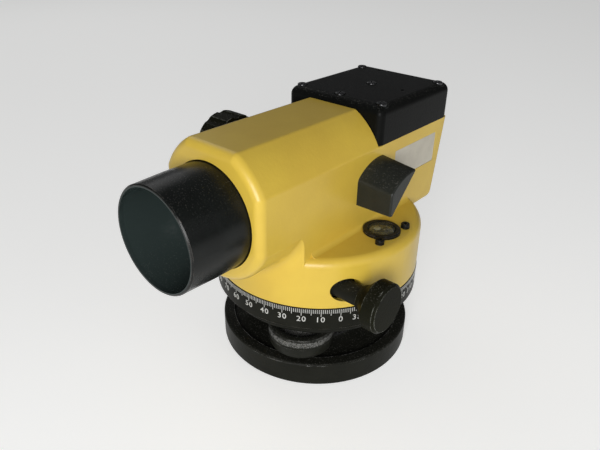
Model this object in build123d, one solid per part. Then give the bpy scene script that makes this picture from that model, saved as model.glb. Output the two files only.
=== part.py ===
from build123d import *
import os
from math import cos, radians, sin, sqrt

os.makedirs("parts", exist_ok=True)

# Lengths are in millimetres and angles in degrees. The origin is the middle of the base's
# underside, Z is the standing axis, the objective looks along -Y and the focusing knob is at -X.

# Fits and gaps
RUN = 0.05  # radial play of a shaft in its bearing
SEAT = 0.1  # gap between flat faces that turn on each other
NEST = 0.02  # radial play of a piece held in its seat
CLEAR = 0.4  # gap between pieces that move past each other

# Base plate
BASE_R = 51.8
BASE_H = 13.5
BASE_POCKET = 2.2
BASE_RIM = 5.8
UNDERCUT_INSET = 14.0
UNDERCUT_H = 1.2
THREAD_R = 6.75  # wall of the 5/8 inch, 11 per inch tripod thread
BUSH_R = 11.0
BUSH_FLANGE = 2.0
BUSH_FLANGE_T = 1.4
SPRING_T = 1.2
SPRING_INSET = 7.5  # from the circle of the foot screws to the spring plate's round middle
SPRING_SCREW_INSET = 4.0
SPRING_LOBE_R = 9.2

# Foot screws
FOOT_INSET = 10.5  # from the base plate's rim to the middle of each foot screw
FOOT_ANGLE = -62.0
FOOT_COUNT = 3
SPINDLE_R = 4.0
BALL_R = 5.4
BALL_FLAT = 0.6
BALL_RISE = 3.0
KNOB_R = 17.0
KNOB_H = 13.0
KNOB_LIFT = 1.5
KNOB_BAND = 4.0
KNOB_LIP = 4.0
KNOB_RECESS = 2.6
KNOB_HUB = 2.4
KNOB_TEETH = 48
KNOB_NOTCH_R = 0.45

# Levelling head and graduated circle
HEAD_GAP = 1.5
HEAD_INSET = 2.3  # how far the head's rim stands inside the base plate's
HEAD_T = 6.2
HEAD_BUSH_WALL = 2.2
BOSS_R = 9.0
BOSS_DROP = 1.5
COLLAR_R = 24.0
COLLAR_H = 3.4
CIRCLE_R = 54.0
CIRCLE_H = 12.1
CIRCLE_WALL = 3.0
CIRCLE_FLOOR = 3.0

# Vertical axis
AXIS_R = 9.0
SLEEVE_R = 15.0
SLEEVE_SHOULDER = 2.0
SLEEVE_FLANGE_R = 22.5
SLEEVE_FLANGE_T = 2.6
AXIS_FLANGE_R = 17.0
AXIS_FLANGE_T = 5.0
NUT_R = 12.5
NUT_T = 2.4
NUT_SLOT = 3.0

# Body casting
DRUM_INSET = 0.2  # how far the drum stands inside the graduated circle
DRUM_WALL = 3.4
SHELF_RISE = 25.7
SHELF_T = 4.5
SHELF_EDGE_R = 4.0
BODY_W = 29.1  # half width of the telescope and the rear housing
BODY_SINK = 5.9  # how far a circle of that half width would reach below the shelf
BARREL_TOP_R = BODY_W + 4.5
BARREL_LOW_R = BODY_W + 1.9
BARREL_EDGE_R = 3.0
TOP_FLAT_DROP = 2.3
TOP_FLAT_W = 0.49 * BODY_W
WALL_SINK = 13.3
NOSE_Y = -72.85
NOSE_EDGE_R = 4.0
BLEND_R = 6.0
WALL_BLEND_R = 2.5
BARREL_END_Y = 8.0
REAR_Y = 75.4
REAR_FOOT_Y = 68.4
REAR_DROP = 3.2
REAR_CORNER_R = 5.0
REAR_EDGE_R = 3.5

# Objective and hood
HOOD_R = BODY_W - 4.9
HOOD_TAPER = 0.6
HOOD_REACH = 29.75
HOOD_WALL = 1.6
HOOD_BEAD = 2.2
HOOD_BORE_GAP = 0.5
HOOD_STROKE = 21.0
HOOD_GRIP = 8.0
OBJECTIVE_REACH = 2.15
OBJECTIVE_WALL = 3.0
OBJECTIVE_SEAT = 9.0
OBJECTIVE_TAIL = 7.0
LENS_BULGE = 1.9

# Focusing
CARRIAGE_WALL = 2.2
CARRIAGE_INSET = 7.2
CARRIAGE_R = HOOD_R - CARRIAGE_INSET
CARRIAGE_GAP = 2.5
FOCUS_TRAVEL = 7.5
FOCUS_LENS_T = 5.0
FOCUS_LENS_SEAT = 3.0
FOCUS_LENS_CURVE = 38.0
RACK_H = 4.6
RACK_PITCH = 1.6
RACK_TAIL = 4.0
FOCUS_Y = -20.0
FOCUS_RISE = 5.3
FOCUS_KNOB_R = 17.5
FOCUS_KNOB_L = 13.2
FOCUS_LOBES = 12
TURRET_R = 13.0
TURRET_L = 8.9
PINION_R = 3.6
PINION_TEETH = 14
BUSH_WALL = 2.6

# Tangent drive
TANGENT_Y = -31.3
TANGENT_DROP = 16.0
TANGENT_HOLE_R = 6.3
TANGENT_SLEEVE_R = 5.0
TANGENT_SHAFT_R = 3.0
TANGENT_LUG_X = 29.0
TANGENT_LUG_T = 6.0
WORM_R = 3.5
WORM_L = 18.0
TANGENT_KNOB_R = 12.0
TANGENT_KNOB_T = 8.0
TANGENT_KNOB_OUT = 4.2
TANGENT_HUB_L = 6.0
KNOB_PLUG = 1.9  # closed front of a knob that is pushed on its shaft
WHEEL_T = 7.0
WHEEL_THROAT = 0.8

# Circular level
LEVEL_OUT = 9.8
LEVEL_Y = 1.6
LEVEL_R = 9.3
LEVEL_CUP_R = 7.8
LEVEL_RISE = 1.6
LEVEL_FLOOR = 1.2
LEVEL_GLASS_R = 7.0
LEVEL_DOME = 0.9
LEVEL_SCREW_CIRCLE_R = 12.7
LEVEL_SCREW_ANGLES = (58.0, -60.0)

# Mirror housing
HOUSING_FRONT_Y = -7.4
HOUSING_BACK_Y = 12.3
HOUSING_DROP = 9.1
HOUSING_H = 20.0
HOUSING_OUT = 19.0
HOUSING_DRAFT = 1.9
HOUSING_SILL = 1.6
HOUSING_WALL = 2.2
MIRROR_T = 1.2
MIRROR_SINK = 1.6
BROW_POINTS = ((0.0, 8.5), (0.4, 7.0), (1.5, 5.7))  # back from the front and down from the top
ROOF_POINT = (8.3, 1.5)

# Compensator cover and label plate
COVER_GAP = 0.5
COVER_BACK = 1.4
COVER_H = 19.0
COVER_WALL = 2.5
COVER_EDGE_R = 4.5
CAVITY_WALL = 3.6
CAVITY_FRONT = 4.0
CAVITY_BACK_Y = 66.0
CAVITY_FLOOR_T = 1.0
SCREW_INSET_X = 4.5
SCREW_FRONT = 5.8
SCREW_BACK = 6.6
POST_R = 3.4
COVER_SINK = 0.9
DIMPLE_R = 1.1
LABEL_Y0 = 24.0
LABEL_L = 40.0
LABEL_DROP = 7.2
LABEL_H = 16.5
LABEL_T = 0.8
LABEL_GAP = 0.15

# Small screws, by shank radius
SPRING_SHANK_R = 1.25
PLATE_SHANK_R = 1.5
LEVEL_SHANK_R = 1.3
COVER_SHANK_R = 1.4

# Compensator
FRAME_GAP = 5.5
FRAME_L = 36.0
FRAME_T = 2.6
FRAME_WINDOW_R = 8.0
BEAM_L = 8.0
PENDULUM_Y = 38.0
PENDULUM_L = 6.0
PIVOT_RISE = 9.7
TAPE_W = 3.0
TAPE_H = 3.4
ARM_T = 2.4
WEIGHT_H = 5.0
WEIGHT_LIFT = 9.0
PRISM = 12.0
MAGNET_W = 10.0
MAGNET_L = 5.0

# Reticle and eyepiece
EYE_R = 10.0
EYE_WALL = 2.0
EYE_FLANGE_R = 12.4
EYE_RING_R = 13.5
EYE_RING_GAP = 6.6
EYE_RING_L = 15.0
EYE_TUBE_L = 15.6
EYE_LENS_T = 3.2
EYE_GRIPS = 36
RETICLE_T = 1.6
RETICLE_CELL_L = 4.0

# Heights that follow from the values above
POCKET_Z = BASE_H - BASE_POCKET
BALL_Z = POCKET_Z - BALL_RISE
FOOT_Z = BALL_Z - BALL_R + BALL_FLAT
KNOB_Z0 = BASE_H + KNOB_LIFT
KNOB_Z1 = KNOB_Z0 + KNOB_H
BOSS_Z = KNOB_Z1 + HEAD_GAP
HEAD_Z0 = BOSS_Z + BOSS_DROP
HEAD_Z1 = HEAD_Z0 + HEAD_T
COLLAR_Z = HEAD_Z1 + COLLAR_H
CIRCLE_Z0 = HEAD_Z1 + SEAT
CIRCLE_Z1 = CIRCLE_Z0 + CIRCLE_H
SPINDLE_Z = HEAD_Z1 - 1.2
SKIRT_Z = CIRCLE_Z1 + CLEAR
SHELF_Z = SKIRT_Z + SHELF_RISE
CEILING_Z = SHELF_Z - SHELF_T
SIGHT_Z = SHELF_Z + BODY_W - BODY_SINK
WALL_TOP_Z = SIGHT_Z + BODY_W - WALL_SINK
REAR_Z = CEILING_Z - REAR_DROP
AXIS_FLANGE_Z = CEILING_Z - AXIS_FLANGE_T
SLEEVE_Z = AXIS_FLANGE_Z - SEAT
NUT_Z1 = HEAD_Z0 - SEAT
NUT_Z0 = NUT_Z1 - NUT_T
TANGENT_Z = SHELF_Z - TANGENT_DROP
WHEEL_Z0 = TANGENT_Z - WHEEL_T / 2
WHEEL_Z1 = TANGENT_Z + WHEEL_T / 2
FOCUS_Z = SIGHT_Z + FOCUS_RISE
RACK_TOP_Z = FOCUS_Z - PINION_R - CLEAR
HOUSING_LOW_Z = SIGHT_Z - HOUSING_DROP
HOUSING_TOP_Z = HOUSING_LOW_Z + HOUSING_H
CAVITY_FLOOR_Z = CEILING_Z + CAVITY_FLOOR_T
COVER_TOP_Z = WALL_TOP_Z + COVER_H
LABEL_Z0 = SIGHT_Z - LABEL_DROP
PIVOT_Z = SIGHT_Z + PIVOT_RISE

# Widths and radii that follow
FOOT_CIRCLE_R = BASE_R - BASE_RIM - FOOT_INSET
SPRING_HUB_R = FOOT_CIRCLE_R - SPRING_INSET
HEAD_R = BASE_R - HEAD_INSET
HEAD_BUSH_R = SPINDLE_R + CLEAR + HEAD_BUSH_WALL
DRUM_R = CIRCLE_R - DRUM_INSET
WHEEL_R = -TANGENT_Y - WORM_R - CLEAR
TANGENT_KNOB_X = CIRCLE_R + TANGENT_KNOB_OUT
HOOD_MOUTH_R = HOOD_R - HOOD_TAPER
HOOD_IN_R = HOOD_R - HOOD_WALL
HOOD_BORE_R = HOOD_R + HOOD_BORE_GAP
BARREL_R = HOOD_IN_R - RUN
OBJECTIVE_IN_R = BARREL_R - OBJECTIVE_WALL
FOCUS_BORE_R = CARRIAGE_R + 2 * RUN
FOCUS_BUSH_R = TANGENT_SHAFT_R + BUSH_WALL
CHANNEL_X = -CARRIAGE_R - 6.5
LEVEL_X = BODY_W + LEVEL_OUT
CAVITY_W = BODY_W - CAVITY_WALL
FRAME_W = CAVITY_W - FRAME_GAP
SCREW_X = BODY_W - SCREW_INSET_X

# Places along the line of sight that follow
OBJECTIVE_FRONT_Y = NOSE_Y - OBJECTIVE_REACH
HOOD_MOUTH_Y = NOSE_Y - HOOD_REACH
HOOD_END_Y = OBJECTIVE_FRONT_Y + HOOD_GRIP
HOOD_BORE_Y = HOOD_END_Y + HOOD_STROKE + CLEAR
OBJECTIVE_END_Y = HOOD_BORE_Y + OBJECTIVE_TAIL
CARRIAGE_Y = OBJECTIVE_END_Y + FOCUS_TRAVEL + CARRIAGE_GAP
CARRIAGE_END_Y = BARREL_END_Y - FOCUS_TRAVEL
COVER_FRONT_Y = BARREL_END_Y + COVER_GAP
COVER_BACK_Y = REAR_Y - COVER_BACK
COVER_MIDDLE_Y = (COVER_FRONT_Y + COVER_BACK_Y) / 2
CAVITY_FRONT_Y = BARREL_END_Y + CAVITY_FRONT
SCREW_FRONT_Y = COVER_FRONT_Y + SCREW_FRONT
SCREW_BACK_Y = COVER_BACK_Y - SCREW_BACK
FRAME_Y0 = PENDULUM_Y - FRAME_L / 2
FRAME_Y1 = PENDULUM_Y + FRAME_L / 2
EYE_RING_Y0 = REAR_Y + EYE_RING_GAP
EYE_RING_Y1 = EYE_RING_Y0 + EYE_RING_L
EYE_TUBE_END_Y = REAR_Y + EYE_TUBE_L

FOOT_ANGLES = [FOOT_ANGLE + i * 360 / FOOT_COUNT for i in range(FOOT_COUNT)]
BETWEEN_FEET = [angle + 180 / FOOT_COUNT for angle in FOOT_ANGLES]
BASE_UP = (Align.CENTER, Align.CENTER, Align.MIN)


def save(shape, name):
    export_step(shape, f"parts/{name}.step")


def group(shapes):
    return Compound(children=[s for shape in shapes for s in shape.solids()])


def post(r, z0, z1, x=0.0, y=0.0):
    return Pos(x, y, z0) * Cylinder(r, z1 - z0, align=BASE_UP)


def along_x(shape, y, z):
    return Pos(0, y, z) * Rot(0, 90, 0) * shape


def along_y(shape, x, z):
    return Pos(x, 0, z) * Rot(-90, 0, 0) * shape


def rod_x(r, x0, x1, y, z):
    return along_x(post(r, x0, x1), y, z)


def rod_y(r, y0, y1, x, z):
    return along_y(post(r, y0, y1), x, z)


def block(x0, x1, y0, y1, z0, z1):
    return Pos((x0 + x1) / 2, (y0 + y1) / 2, (z0 + z1) / 2) * Box(x1 - x0, y1 - y0, z1 - z0)


def points_on_circle(radius, angles):
    return [(radius * cos(radians(a)), radius * sin(radians(a))) for a in angles]


def turned(*points):
    """Revolves a closed profile of (radius, height) points about Z."""
    outline = Polyline(*points, close=True)
    return revolve(Plane.XZ * make_face(outline), Axis.Z)


def mirrored(shape):
    return shape + mirror(shape, Plane.YZ)


FOOT_POINTS = points_on_circle(FOOT_CIRCLE_R, FOOT_ANGLES)

# Base


def base_plate():
    plate = post(BASE_R, 0, BASE_H)
    rim = plate.edges().filter_by(GeomType.CIRCLE)
    plate = fillet(rim.sort_by(Axis.Z)[-1], 1.0)
    plate = fillet(plate.edges().filter_by(GeomType.CIRCLE).sort_by(Axis.Z)[0], 1.6)
    plate -= post(BASE_R - BASE_RIM, POCKET_Z, BASE_H + 1)
    plate -= post(BASE_R - UNDERCUT_INSET, -1, UNDERCUT_H)
    plate -= post(BUSH_R + NEST, 0, BASE_H)
    for x, y in FOOT_POINTS:
        plate -= post(BALL_R + CLEAR, FOOT_Z - SEAT, BASE_H, x, y)
    for x, y in spring_screw_points():
        plate -= post(SPRING_SHANK_R + NEST, POCKET_Z - 5.2 * SPRING_SHANK_R, BASE_H, x, y)
    return plate


def spring_screw_points():
    return points_on_circle(SPRING_HUB_R - SPRING_SCREW_INSET, BETWEEN_FEET)


def tripod_bush():
    body = turned(
        (THREAD_R, 0),
        (BUSH_R, 0),
        (BUSH_R, POCKET_Z),
        (BUSH_R + BUSH_FLANGE, POCKET_Z),
        (BUSH_R + BUSH_FLANGE, POCKET_Z + BUSH_FLANGE_T),
        (THREAD_R, POCKET_Z + BUSH_FLANGE_T),
    )
    return body


def spring_plate():
    hub = post(SPRING_HUB_R, POCKET_Z, POCKET_Z + SPRING_T)
    for x, y in FOOT_POINTS:
        hub += post(SPRING_LOBE_R, POCKET_Z, POCKET_Z + SPRING_T, x, y)
    hub -= post(BUSH_R + BUSH_FLANGE + CLEAR, 0, BASE_H)
    for x, y in FOOT_POINTS:
        hub -= post(SPINDLE_R + 2 * CLEAR, 0, BASE_H, x, y)
    for x, y in spring_screw_points():
        hub -= post(SPRING_SHANK_R + NEST, 0, BASE_H, x, y)
    return hub


def cap_screw(x, y, z_seat, shank_r, head_h, shank_l):
    head_r = 1.7 * shank_r
    head = post(head_r, z_seat, z_seat + head_h, x, y)
    head = fillet(head.edges().sort_by(Axis.Z)[-1], head_h * 0.25)
    socket = extrude(Pos(x, y, z_seat + head_h) * RegularPolygon(head_r * 0.5, 6), -head_h * 0.6)
    return head + post(shank_r, z_seat - shank_l, z_seat, x, y) - socket


def spring_screws():
    z = POCKET_Z + SPRING_T
    head_h = 1.2 * SPRING_SHANK_R
    shank_l = 4.8 * SPRING_SHANK_R
    return group(cap_screw(x, y, z, SPRING_SHANK_R, head_h, shank_l) for x, y in spring_screw_points())


# Foot screws


def foot_spindle(x, y):
    ball = Pos(0, 0, BALL_Z) * Sphere(BALL_R)
    ball -= post(2 * BALL_R, BALL_Z - 2 * BALL_R, FOOT_Z)
    rod = post(SPINDLE_R, BALL_Z, SPINDLE_Z)
    rod = chamfer(rod.edges().filter_by(GeomType.CIRCLE).sort_by(Axis.Z)[-1], 0.6)
    return Pos(x, y, 0) * (ball + rod)


def foot_knob(x, y):
    step = 0.6
    body = turned(
        (SPINDLE_R + NEST, KNOB_Z0),
        (KNOB_R - 5 * step, KNOB_Z0),
        (KNOB_R - step, KNOB_Z0 + 4 * step),
        (KNOB_R - step, KNOB_Z1 - KNOB_BAND - step),
        (KNOB_R, KNOB_Z1 - KNOB_BAND),
        (KNOB_R, KNOB_Z1 - step),
        (KNOB_R - step, KNOB_Z1),
        (KNOB_R - KNOB_LIP, KNOB_Z1),
        (KNOB_R - KNOB_LIP, KNOB_Z1 - KNOB_RECESS),
        (SPINDLE_R + KNOB_HUB, KNOB_Z1 - KNOB_RECESS),
        (SPINDLE_R + KNOB_HUB, KNOB_Z1 - CLEAR),
        (SPINDLE_R + NEST, KNOB_Z1 - CLEAR),
    )
    notch = post(KNOB_NOTCH_R, KNOB_Z0, KNOB_Z1 + 1, KNOB_R + KNOB_NOTCH_R / 3, 0)
    for i in range(KNOB_TEETH):
        body -= Rot(0, 0, i * 360 / KNOB_TEETH) * notch
    return Pos(x, y, 0) * body


# Levelling head


def levelling_head():
    plate = post(HEAD_R, HEAD_Z0, HEAD_Z1)
    plate = fillet(plate.edges().filter_by(GeomType.CIRCLE).sort_by(Axis.Z)[0], 2.0)
    for x, y in FOOT_POINTS:
        plate += post(BOSS_R, BOSS_Z, HEAD_Z0 + 1, x, y)
    plate += post(COLLAR_R, HEAD_Z1, COLLAR_Z)
    for x, y in FOOT_POINTS:
        plate -= post(HEAD_BUSH_R + NEST, BOSS_Z - 1, HEAD_Z1 + 1, x, y)
    plate -= post(SLEEVE_R + NEST, 0, COLLAR_Z + 1)
    for x, y in sleeve_screw_points():
        plate -= post(PLATE_SHANK_R + NEST, COLLAR_Z - 4.4 * PLATE_SHANK_R, COLLAR_Z + 1, x, y)
    return plate


def head_bushes():
    bushes = []
    for x, y in FOOT_POINTS:
        bush = post(HEAD_BUSH_R, BOSS_Z, HEAD_Z1, x, y)
        bushes.append(bush - post(SPINDLE_R + CLEAR, 0, HEAD_Z1 + 1, x, y))
    return group(bushes)


def sleeve_screw_points():
    return points_on_circle((SLEEVE_R + SLEEVE_SHOULDER + SLEEVE_FLANGE_R) / 2, BETWEEN_FEET)


def axis_sleeve():
    z_flange = COLLAR_Z + SLEEVE_FLANGE_T
    shoulder_r = SLEEVE_R + SLEEVE_SHOULDER
    shoulder_z = WHEEL_Z0 - SEAT
    body = turned(
        (AXIS_R + RUN, HEAD_Z0),
        (SLEEVE_R, HEAD_Z0),
        (SLEEVE_R, COLLAR_Z),
        (SLEEVE_FLANGE_R, COLLAR_Z),
        (SLEEVE_FLANGE_R, z_flange),
        (shoulder_r, z_flange),
        (shoulder_r, shoulder_z),
        (SLEEVE_R, shoulder_z),
        (SLEEVE_R, SLEEVE_Z),
        (AXIS_R + RUN, SLEEVE_Z),
    )
    for x, y in sleeve_screw_points():
        body -= post(PLATE_SHANK_R + NEST, COLLAR_Z - 1, z_flange + 1, x, y)
    return body


def sleeve_screws():
    z = COLLAR_Z + SLEEVE_FLANGE_T
    head_h = 1.6 * PLATE_SHANK_R
    shank_l = SLEEVE_FLANGE_T + 3.6 * PLATE_SHANK_R
    return group(cap_screw(x, y, z, PLATE_SHANK_R, head_h, shank_l) for x, y in sleeve_screw_points())


def horizontal_circle():
    inner_r = CIRCLE_R - CIRCLE_WALL
    floor_z = CIRCLE_Z0 + CIRCLE_FLOOR
    return turned(
        (COLLAR_R + RUN, CIRCLE_Z0),
        (CIRCLE_R - 0.6, CIRCLE_Z0),
        (CIRCLE_R, CIRCLE_Z0 + 0.6),
        (CIRCLE_R, CIRCLE_Z1 - 0.3),
        (CIRCLE_R - 0.3, CIRCLE_Z1),
        (inner_r, CIRCLE_Z1),
        (inner_r, floor_z),
        (COLLAR_R + RUN, floor_z),
    )


# Body casting


def telescope_section():
    """Draws the barrel's outline about the line of sight, flat on top and at both sides."""
    top = BARREL_TOP_R - TOP_FLAT_DROP
    side = WALL_TOP_Z - SIGHT_Z - SEAT
    low = -sqrt(BARREL_LOW_R**2 - BODY_W**2)
    lean = radians(43)
    mid_x = BARREL_TOP_R * sin(lean)
    mid_z = BARREL_TOP_R * cos(lean)
    edges = [
        Line((-TOP_FLAT_W, top), (TOP_FLAT_W, top)),
        ThreePointArc((TOP_FLAT_W, top), (mid_x, mid_z), (BODY_W, side)),
        Line((BODY_W, side), (BODY_W, low)),
        ThreePointArc((BODY_W, low), (0, -BARREL_LOW_R), (-BODY_W, low)),
        Line((-BODY_W, low), (-BODY_W, side)),
        ThreePointArc((-BODY_W, side), (-mid_x, mid_z), (-TOP_FLAT_W, top)),
    ]
    outline = make_face(Wire(edges))
    return fillet(outline.vertices(), BARREL_EDGE_R)


def telescope_barrel():
    start = Plane((0, NOSE_Y, SIGHT_Z), x_dir=(1, 0, 0), z_dir=(0, -1, 0))
    barrel = extrude(start * telescope_section(), -(BARREL_END_Y - NOSE_Y))
    front = barrel.faces().sort_by(Axis.Y)[0]
    return fillet(front.outer_wire().edges(), NOSE_EDGE_R)


def drum_front():
    """Blends the barrel's underside into the drum, then trims both to the body's width."""
    far = 2 * BARREL_LOW_R
    crossing = rod_y(BARREL_LOW_R, NOSE_Y - far, 0, 0, SIGHT_Z) + post(DRUM_R, SKIRT_Z, SIGHT_Z + far)
    seam = crossing.edges().filter_by(GeomType.BSPLINE)
    blended = fillet(seam, BLEND_R)
    nose_back = NOSE_Y + 1.4 * NOSE_EDGE_R
    return blended & block(-BODY_W, BODY_W, nose_back, 0, SKIRT_Z, SIGHT_Z - 3)


def drum():
    body = post(DRUM_R, SKIRT_Z, SHELF_Z)
    return fillet(body.faces().sort_by(Axis.Z)[-1].edges(), SHELF_EDGE_R)


def rear_housing():
    points = [(BARREL_END_Y, WALL_TOP_Z), (REAR_Y, WALL_TOP_Z), (REAR_FOOT_Y, REAR_Z), (BARREL_END_Y, REAR_Z)]
    side = Plane.YZ * make_face(Polyline(*points, close=True))
    body = extrude(side, BODY_W, both=True)
    low_edge = body.edges().filter_by(Axis.X).group_by(Axis.Z)[0].sort_by(Axis.Y)[-1]
    body = fillet(low_edge, REAR_CORNER_R)
    corners = [e for e in body.edges() if e.center().Y > REAR_FOOT_Y - 2 and abs(e.center().X) > BODY_W - 0.1]
    return fillet(corners, REAR_EDGE_R)


def wall_blend():
    """A concave strip where the side wall meets the shelf, drawn once and mirrored."""
    r = WALL_BLEND_R
    reach = sqrt((DRUM_R - SHELF_EDGE_R) ** 2 - BODY_W**2)
    strip = block(BODY_W - 1, BODY_W + r, -reach, reach, SHELF_Z - 1, SHELF_Z + r)
    strip -= rod_y(r, -reach - 1, reach + 1, BODY_W + r, SHELF_Z + r)
    return mirrored(strip)


def casting_outside():
    neck = block(-BODY_W, BODY_W, -DRUM_R / 3, BARREL_END_Y + 1, SKIRT_Z + 3, SIGHT_Z)
    turret = rod_x(TURRET_R, -BODY_W - TURRET_L, -BODY_W + 2, FOCUS_Y, FOCUS_Z)
    turret = fillet(turret.edges().filter_by(GeomType.CIRCLE).sort_by(Axis.X)[0], 1.5)
    body = telescope_barrel() + drum_front() + drum() + neck + rear_housing() + wall_blend() + turret
    return body.clean()


def casting_lugs():
    """Two lugs under the shelf that hold the tangent shaft's sleeves."""
    half = 1.4 * TANGENT_SLEEVE_R
    outer = TANGENT_LUG_X + TANGENT_LUG_T
    lug = block(TANGENT_LUG_X, outer, TANGENT_Y - half, TANGENT_Y + half, TANGENT_Z - half, CEILING_Z + 1)
    return mirrored(lug)


def cover_post_points():
    return [(s * SCREW_X, y) for s in (-1, 1) for y in (SCREW_FRONT_Y, SCREW_BACK_Y)] + [(0.0, SCREW_FRONT_Y)]


def body_casting():
    body = casting_outside()
    body -= post(DRUM_R - DRUM_WALL, SKIRT_Z - 1, CEILING_Z)
    body += casting_lugs()
    lug_end = TANGENT_LUG_X + TANGENT_LUG_T + 1
    body -= rod_x(TANGENT_HOLE_R, lug_end, DRUM_R + 2, TANGENT_Y, TANGENT_Z)
    body -= rod_x(TANGENT_HOLE_R, -DRUM_R - 2, -lug_end, TANGENT_Y, TANGENT_Z)
    body -= rod_x(TANGENT_SLEEVE_R + NEST, -lug_end - 1, lug_end + 1, TANGENT_Y, TANGENT_Z)
    body -= rod_y(HOOD_BORE_R, NOSE_Y - 1, HOOD_BORE_Y, 0, SIGHT_Z)
    body -= rod_y(BARREL_R + NEST, HOOD_BORE_Y - 1, OBJECTIVE_END_Y, 0, SIGHT_Z)
    body -= rod_y(FOCUS_BORE_R, OBJECTIVE_END_Y - 1, CAVITY_FRONT_Y + 1, 0, SIGHT_Z)
    cavity = block(-CAVITY_W, CAVITY_W, CAVITY_FRONT_Y, CAVITY_BACK_Y, CAVITY_FLOOR_Z, WALL_TOP_Z + 1)
    for x, y in cover_post_points():
        cavity -= post(POST_R, CAVITY_FLOOR_Z, WALL_TOP_Z + 1, x, y)
    body -= cavity
    channel_y0 = OBJECTIVE_END_Y + CLEAR
    channel_x1 = -CARRIAGE_R + 5
    channel_z0 = RACK_TOP_Z - 1.5 * RACK_H
    body -= block(CHANNEL_X, channel_x1, channel_y0, CAVITY_FRONT_Y + 1, channel_z0, FOCUS_Z + 1.8 * PINION_R)
    body -= rod_x(FOCUS_BUSH_R + NEST, -BODY_W - TURRET_L - 1, CHANNEL_X + 1, FOCUS_Y, FOCUS_Z)
    body -= rod_y(EYE_R + NEST, CAVITY_BACK_Y - 1, REAR_Y + 5, 0, SIGHT_Z)
    for x, y in cover_post_points():
        body -= post(COVER_SHANK_R + NEST, WALL_TOP_Z - cover_thread() - 2, WALL_TOP_Z + 1, x, y)
    body -= block(BODY_W - LABEL_T, BODY_W + 1, LABEL_Y0, LABEL_Y0 + LABEL_L, LABEL_Z0, LABEL_Z0 + LABEL_H)
    body -= post(LEVEL_R + CLEAR, SHELF_Z, SHELF_Z + 2 * WALL_BLEND_R, LEVEL_X, LEVEL_Y)
    body -= post(LEVEL_CUP_R + NEST, CEILING_Z - 1, SHELF_Z + 1, LEVEL_X, LEVEL_Y)
    for x, y in level_screw_points():
        body -= post(LEVEL_SHANK_R + NEST, CEILING_Z - 1, SHELF_Z + 1, x, y)
    for x, y in axis_screw_points():
        body -= post(PLATE_SHANK_R + NEST, CEILING_Z - 1, CEILING_Z + 5.4 * PLATE_SHANK_R, x, y)
    return body


def cover_thread():
    """How deep the cover's long screws reach into the casting."""
    return 5 * COVER_SHANK_R


# Vertical axis


def axis_screw_points():
    return points_on_circle((AXIS_R + AXIS_FLANGE_R) / 2, (0, 90, 180, 270))


def axis_screw_sink():
    return 0.52 * AXIS_FLANGE_T


def axis_spindle():
    body = turned(
        (0, NUT_Z0),
        (axis_thread_r(), NUT_Z0),
        (axis_thread_r(), NUT_Z1),
        (AXIS_R, NUT_Z1),
        (AXIS_R, AXIS_FLANGE_Z),
        (AXIS_FLANGE_R, AXIS_FLANGE_Z),
        (AXIS_FLANGE_R, CEILING_Z),
        (0, CEILING_Z),
    )
    for x, y in axis_screw_points():
        body -= post(PLATE_SHANK_R + NEST, AXIS_FLANGE_Z - 1, CEILING_Z + 1, x, y)
        body -= post(1.7 * PLATE_SHANK_R + SEAT, AXIS_FLANGE_Z - 1, AXIS_FLANGE_Z + axis_screw_sink(), x, y)
    return body


def axis_thread_r():
    return AXIS_R - 1


def axis_screws():
    flipped = []
    for x, y in axis_screw_points():
        screw = cap_screw(0, 0, 0, PLATE_SHANK_R, 1.6 * PLATE_SHANK_R, AXIS_FLANGE_T + 2.6 * PLATE_SHANK_R)
        flipped.append(Pos(x, y, AXIS_FLANGE_Z + axis_screw_sink()) * Rot(180, 0, 0) * screw)
    return group(flipped)


def axis_nut():
    body = post(NUT_R, NUT_Z0, NUT_Z1) - post(axis_thread_r() + NEST, NUT_Z0 - 1, NUT_Z1 + 1)
    slot = block(NUT_R - 2, NUT_R + 1, -NUT_SLOT / 2, NUT_SLOT / 2, NUT_Z0 - 1, NUT_Z1 + 1)
    for i in range(4):
        body -= Rot(0, 0, 45 + i * 90) * slot
    return body


def friction_wheel():
    bore = SLEEVE_R + RUN
    bevel = 0.5
    flank = WHEEL_T / 2 - 2 * bevel
    return turned(
        (bore, WHEEL_Z0),
        (WHEEL_R - bevel, WHEEL_Z0),
        (WHEEL_R, WHEEL_Z0 + bevel),
        (WHEEL_R, TANGENT_Z - flank),
        (WHEEL_R - WHEEL_THROAT, TANGENT_Z),
        (WHEEL_R, TANGENT_Z + flank),
        (WHEEL_R, WHEEL_Z1 - bevel),
        (WHEEL_R - bevel, WHEEL_Z1),
        (bore, WHEEL_Z1),
    )


# Tangent drive


def tangent_shaft():
    end = TANGENT_KNOB_X + TANGENT_KNOB_T - KNOB_PLUG - SEAT
    shaft = rod_x(TANGENT_SHAFT_R, -end, end, TANGENT_Y, TANGENT_Z)
    return shaft + rod_x(WORM_R, -WORM_L / 2, WORM_L / 2, TANGENT_Y, TANGENT_Z)


def tangent_sleeves():
    out = TANGENT_KNOB_X - TANGENT_HUB_L - CLEAR
    sleeve = rod_x(TANGENT_SLEEVE_R, TANGENT_LUG_X, out, TANGENT_Y, TANGENT_Z)
    sleeve -= rod_x(TANGENT_SHAFT_R + RUN, TANGENT_LUG_X - 1, out + 1, TANGENT_Y, TANGENT_Z)
    return group([sleeve, mirror(sleeve, Plane.YZ)])


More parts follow.
